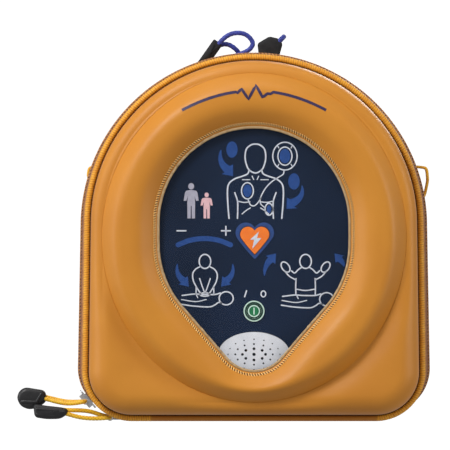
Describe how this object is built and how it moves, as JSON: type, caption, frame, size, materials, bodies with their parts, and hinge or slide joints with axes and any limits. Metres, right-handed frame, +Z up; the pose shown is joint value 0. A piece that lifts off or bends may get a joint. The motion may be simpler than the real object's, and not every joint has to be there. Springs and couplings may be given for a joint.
{
  "type": "automated external defibrillator in carry case",
  "caption": "Automated external defibrillator zipped into a padded moulded clamshell carry case with a clear teardrop window, cord zip pulls, side loops and a cord handle.",
  "frame": {"origin": "middle of the bottom edge, in the zip's mid plane, where the case stands", "axes": "+X to the right seen from the front, +Y to the back, +Z up; the window faces -Y"},
  "size_m": [0.2659, 0.0768, 0.2516],
  "materials": {
    "case_skin": "moulded foam with a fine-grained synthetic leather skin",
    "clear_film": "clear flexible film, glossy",
    "raw_edge": "raw cut edge of the skin and film with a stitch line",
    "piping": "woven piping over a cord",
    "zip_tape": "woven zip tape",
    "zip_teeth": "nylon coil",
    "print_navy": "flexible print",
    "case_fabric": "woven fabric hinge",
    "slider_metal": "plated zinc, worn",
    "yellow_cord": "braided cord",
    "black_grip": "satin moulded plastic",
    "case_webbing": "folded webbing",
    "blue_cord": "braided cord with dark edges",
    "black_sleeve": "matt sleeve",
    "foam": "closed-cell foam",
    "housing": "fine-textured moulding",
    "gasket": "soft rubber",
    "panel_navy": "printed membrane with line drawings",
    "surround_blue": "moulded frame",
    "heart_orange": "moulded button",
    "print_white": "printed emblem",
    "ring_white": "moulded ring",
    "button_green": "moulded button with a white bar",
    "grille_white": "domed moulding with rings of holes",
    "driver_black": "loudspeaker basket and magnet cover",
    "board_green": "circuit board with solder mask",
    "switch_black": "moulded switch",
    "chip_black": "moulded package",
    "capacitor": "wrapped film capacitor",
    "copper_winding": "enamelled wire winding",
    "relay_grey": "moulded case",
    "cartridge_grey": "moulded housing",
    "cell": "sleeved cell",
    "pad_foil": "sealed packet of gel electrodes",
    "tab_green": "moulded tab",
    "screw_steel": "plated steel"
  },
  "bodies": {
    "case_back_with_device": {"case_back_shell": "case_skin", "case_back_piping": "piping", "case_back_zip_tape": "zip_tape", "case_back_zip_teeth": "zip_teeth", "case_hinge_fabric": "case_fabric", "case_zip_stops": "slider_metal", "strap_loop_right": "case_webbing", "strap_loop_left": "case_webbing", "handle_cord": "blue_cord", "handle_inner_cord": "blue_cord", "handle_end_cord": "blue_cord", "handle_sleeve_left": "black_sleeve", "handle_sleeve_right": "black_sleeve", "handle_anchor": "case_webbing", "case_cradle": "foam", "device_front_housing": "housing", "device_rear_housing": "housing", "device_gasket": "gasket", "device_overlay": "panel_navy", "shock_button_surround": "surround_blue", "power_button_ring": "ring_white", "speaker_grille": "grille_white", "speaker_driver": "driver_black", "main_board": "board_green", "shock_switch": "switch_black", "power_switch": "switch_black", "controller_chips": "chip_black", "hv_capacitor": "capacitor", "output_inductor": "copper_winding", "isolation_relay": "relay_grey", "data_port_cover": "gasket", "cartridge_housing": "cartridge_grey", "cartridge_cells": "cell", "cartridge_electrode_pads": "pad_foil", "cartridge_pull_tab": "tab_green", "housing_screws": "screw_steel"},
    "lid": {"case_front_shell": "case_skin", "case_window_film": "clear_film", "case_window_binding": "raw_edge", "case_front_piping": "piping", "case_front_zip_tape": "zip_tape", "case_front_zip_teeth": "zip_teeth", "case_mark": "print_navy"},
    "upper_slider": {"zip_slider_upper": "slider_metal"},
    "lower_slider": {"zip_slider_lower": "slider_metal"},
    "upper_pull": {"pull_cord_upper": "yellow_cord", "pull_grip_upper": "black_grip"},
    "lower_pull": {"pull_cord_lower": "yellow_cord", "pull_grip_lower": "black_grip"},
    "shock_key": {"shock_button": "heart_orange", "shock_button_flash": "print_white"},
    "power_key": {"power_button": "button_green"}
  },
  "joints": [
    {"name": "lid_hinge", "type": "hinge", "parent": "case_back_with_device", "child": "lid", "pos_m": [0, 0, 0], "axis": [1, 0, 0], "range_deg": [0, 165], "deforming": ["case_hinge_fabric"]},
    {"name": "upper_slider_travel", "type": "hinge", "parent": "case_back_with_device", "child": "upper_slider", "pos_m": [-0.0843, 0, 0.034], "axis": [0, 1, 0], "range_deg": [0, 24]},
    {"name": "lower_slider_travel", "type": "slide", "parent": "case_back_with_device", "child": "lower_slider", "axis": [1, 0, 0], "range_m": [0, 0.005]},
    {"name": "upper_pull_swing", "type": "hinge", "parent": "upper_slider", "child": "upper_pull", "pos_m": [-0.10842, 0, 0.01266], "axis": [0, 1, 0], "range_deg": [-5, 50]},
    {"name": "lower_pull_swing", "type": "hinge", "parent": "lower_slider", "child": "lower_pull", "pos_m": [-0.0925, 0, 0.00225], "axis": [0, 1, 0], "range_deg": [-70, 0]},
    {"name": "shock_button_press", "type": "slide", "parent": "case_back_with_device", "child": "shock_key", "axis": [0, 1, 0], "range_m": [0, 0.0005], "stiffness_N_per_m": 2500, "springref_m": -0.0008},
    {"name": "power_button_press", "type": "slide", "parent": "case_back_with_device", "child": "power_key", "axis": [0, 1, 0], "range_m": [0, 0.0005], "stiffness_N_per_m": 2500, "springref_m": -0.0008}
  ]
}
